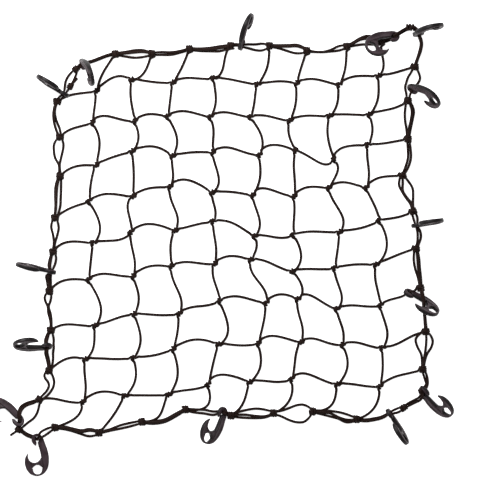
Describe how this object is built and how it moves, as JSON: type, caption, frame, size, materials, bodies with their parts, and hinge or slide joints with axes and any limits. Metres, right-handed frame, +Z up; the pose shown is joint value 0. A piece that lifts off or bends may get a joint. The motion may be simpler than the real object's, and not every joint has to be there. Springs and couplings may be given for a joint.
{
  "type": "cargo net",
  "caption": "Square knotted mesh of elastic cord inside a doubled rail cord, with moulded open hooks hung round the edge, laid out flat with its slack curves.",
  "frame": {"origin": "centre of the laid-out net's bounding box, on the surface it lies on", "axes": "+Z up from the surface, +Y towards the net's top rail, +X towards its right rail"},
  "size_m": [0.7582, 0.751, 0.0583],
  "materials": {
    "cord": "matte black-brown braided elastic cord",
    "hook": "dark grey moulded plastic, slight sheen"
  },
  "bodies": {
    "root": {"across_1": "cord", "across_2": "cord", "across_3": "cord", "across_4": "cord", "across_5": "cord", "across_6": "cord", "across_7": "cord", "across_8": "cord", "across_9": "cord", "down_1": "cord", "down_2": "cord", "down_3": "cord", "down_4": "cord", "down_5": "cord", "down_6": "cord", "down_7": "cord", "down_8": "cord", "hook_01_tl_outside": "hook", "hook_02_tl_inside": "hook", "hook_03_top": "hook", "hook_04_tr_inside": "hook", "hook_05_tr_outside": "hook", "hook_06_right_1": "hook", "hook_07_right_2": "hook", "hook_08_right_3": "hook", "hook_09_br": "hook", "hook_10_bottom_right": "hook", "hook_11_bottom_middle": "hook", "hook_12_bl_inside": "hook", "hook_13_bl_outside": "hook", "hook_14_left_1": "hook", "hook_15_left_2": "hook", "rail_bottom_inner": "cord", "rail_bottom_outer": "cord", "rail_left_inner": "cord", "rail_left_outer": "cord", "rail_right_inner": "cord", "rail_right_outer": "cord", "rail_top_inner": "cord", "rail_top_outer": "cord", "tie_bottom_right": "cord", "tie_corner_bl": "cord", "tie_corner_br": "cord", "tie_corner_tl": "cord", "tie_corner_tr": "cord", "tie_inner_tl": "cord"}
  },
  "joints": []
}
